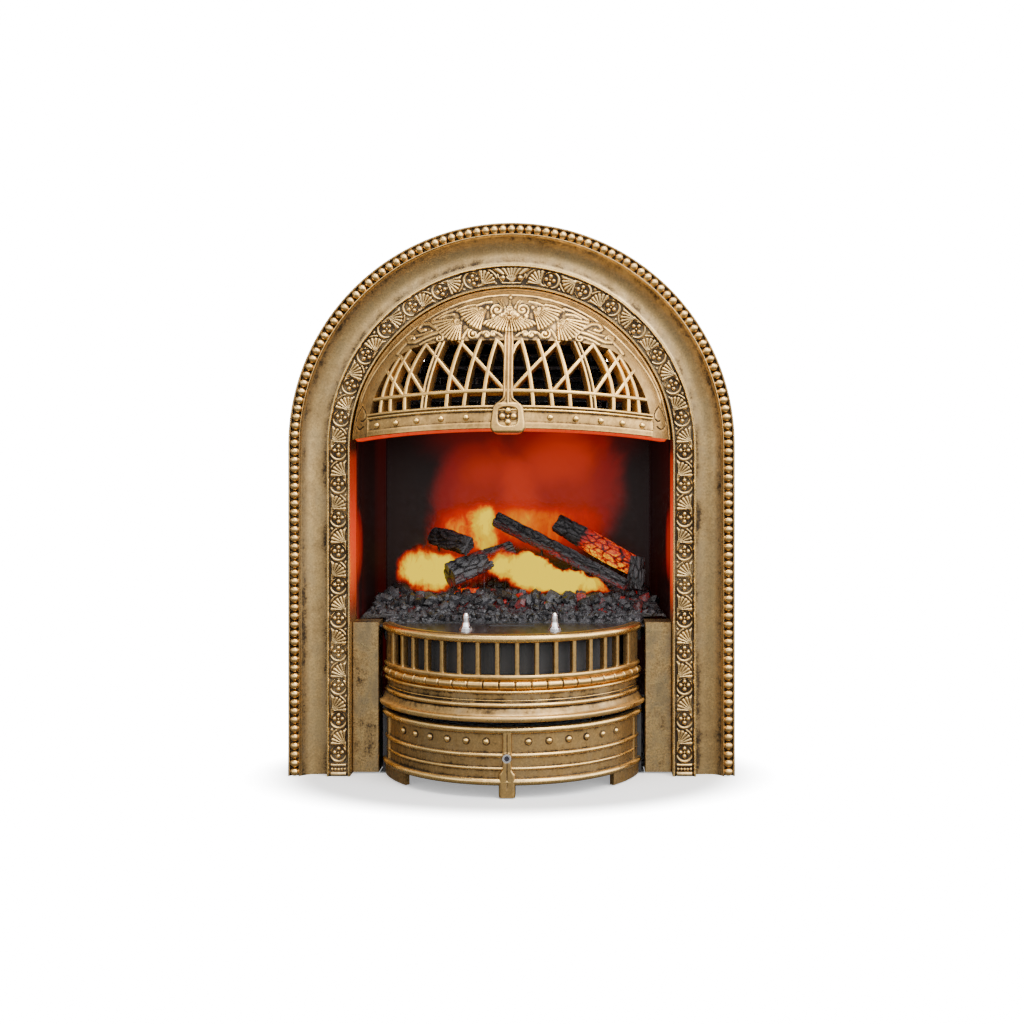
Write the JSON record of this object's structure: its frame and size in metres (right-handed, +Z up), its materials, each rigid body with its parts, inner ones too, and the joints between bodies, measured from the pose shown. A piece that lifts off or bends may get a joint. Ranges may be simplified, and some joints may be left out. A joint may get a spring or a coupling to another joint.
{
  "type": "water vapour electric fireplace",
  "caption": "Arched inset electric fire in antique brass with a pierced domed hood, bowed grate, ember bed with logs, and a pull-out mist drawer.",
  "frame": {"origin": "middle of the appliance's width on the base pan's underside, in the wall plane", "axes": "+X to the viewer's right, +Y back into the wall, +Z up"},
  "size_m": [0.514, 0.3424, 0.636],
  "materials": {
    "antique_brass": "antiqued",
    "antique_brass_beads": "antiqued, rubbed bright",
    "cheek_brass": "antiqued",
    "hood_brass": "antiqued",
    "grate_brass": "antiqued",
    "ledge_brass": "antiqued",
    "fret_brass": "antiqued",
    "chrome": "polished",
    "dark_lens": "gloss",
    "black_sheet": "satin",
    "black_gloss": "gloss",
    "galvanised_sheet": "zinc plated",
    "bare_aluminium": "bare",
    "lamp_metal": "brushed",
    "heater_steel": "brushed",
    "transformer_steel": "lacquered",
    "clear_plastic": "translucent",
    "grey_plastic": "matte",
    "black_plastic": "matte",
    "switch_plastic": "gloss",
    "circuit_board": "lacquered",
    "ember": "matte, lit from below",
    "charred_log": "matte",
    "glowing_log": "matte, lit through its cracks"
  },
  "bodies": {
    "appliance": {"arch_surround": "antique_brass", "pearl_border": "antique_brass_beads", "cheek_left": "cheek_brass", "cheek_right": "cheek_brass", "hood": "hood_brass", "outlet_louvre": "black_sheet", "grate": "grate_brass", "grate_backing": "black_sheet", "ledge_band": "ledge_brass", "outer_casing": "galvanised_sheet", "back_panel": "galvanised_sheet", "base_pan": "galvanised_sheet", "fuel_shelf": "galvanised_sheet", "firebox_liner": "black_gloss", "firebox_ceiling": "black_sheet", "blower_housing": "galvanised_sheet", "blower_motor": "lamp_metal", "heater_element": "heater_steel", "mist_duct": "galvanised_sheet", "lamp_bar": "lamp_metal", "control_board": "circuit_board", "transformer": "transformer_steel", "mist_fan_frame": "black_plastic", "control_panel_left": "black_sheet", "control_panel_right": "black_sheet", "runner_left": "galvanised_sheet", "runner_right": "galvanised_sheet", "cable_gland": "black_plastic"},
    "drawer": {"drawer_fret": "fret_brass", "eye_bezel": "chrome", "eye_lens": "dark_lens", "drawer_tray": "galvanised_sheet", "water_tank": "clear_plastic", "tank_cap": "black_plastic", "mist_sump": "grey_plastic", "transducer_block": "black_plastic"},
    "fuel_bed": {"ember_bed": "ember", "log_stub": "charred_log", "log_front": "charred_log", "log_back": "charred_log", "log_glowing": "glowing_log", "log_char": "charred_log"},
    "deck": {"front_deck": "black_gloss", "deck_knob_left": "chrome", "deck_knob_right": "chrome"},
    "blower": {"blower_rotor": "bare_aluminium"},
    "mist_fan": {"mist_fan_rotor": "black_plastic"},
    "power_switch": {"rocker_power": "switch_plastic"},
    "low_heat_switch": {"rocker_heat_low": "switch_plastic"},
    "high_heat_switch": {"rocker_heat_high": "switch_plastic"},
    "dial": {"flame_dial": "black_plastic"}
  },
  "joints": [
    {"name": "drawer_slide", "type": "slide", "parent": "appliance", "child": "drawer", "axis": [0, -1, 0], "range_m": [0, 0.17]},
    {"name": "fuel_bed_lift", "type": "slide", "parent": "appliance", "child": "fuel_bed", "axis": [0, 0, 1], "range_m": [0, 0.08]},
    {"name": "deck_lift", "type": "slide", "parent": "appliance", "child": "deck", "axis": [0, 0, 1], "range_m": [0, 0.06]},
    {"name": "blower_spin", "type": "hinge", "parent": "appliance", "child": "blower", "pos_m": [0, 0.12, 0.461], "axis": [1, 0, 0], "continuous": true},
    {"name": "mist_fan_spin", "type": "hinge", "parent": "appliance", "child": "mist_fan", "pos_m": [0, 0.168, 0.036], "axis": [0, 1, 0], "continuous": true},
    {"name": "power_rock", "type": "hinge", "parent": "appliance", "child": "power_switch", "pos_m": [0.11, -0.011, 0.052], "axis": [1, 0, 0], "range_deg": [0, 14]},
    {"name": "low_heat_rock", "type": "hinge", "parent": "appliance", "child": "low_heat_switch", "pos_m": [0.1215, -0.011, 0.052], "axis": [1, 0, 0], "range_deg": [0, 14]},
    {"name": "high_heat_rock", "type": "hinge", "parent": "appliance", "child": "high_heat_switch", "pos_m": [0.133, -0.011, 0.052], "axis": [1, 0, 0], "range_deg": [0, 14]},
    {"name": "dial_turn", "type": "hinge", "parent": "appliance", "child": "dial", "pos_m": [-0.122, -0.011, 0.052], "axis": [0, -1, 0], "range_deg": [0, 270]}
  ]
}
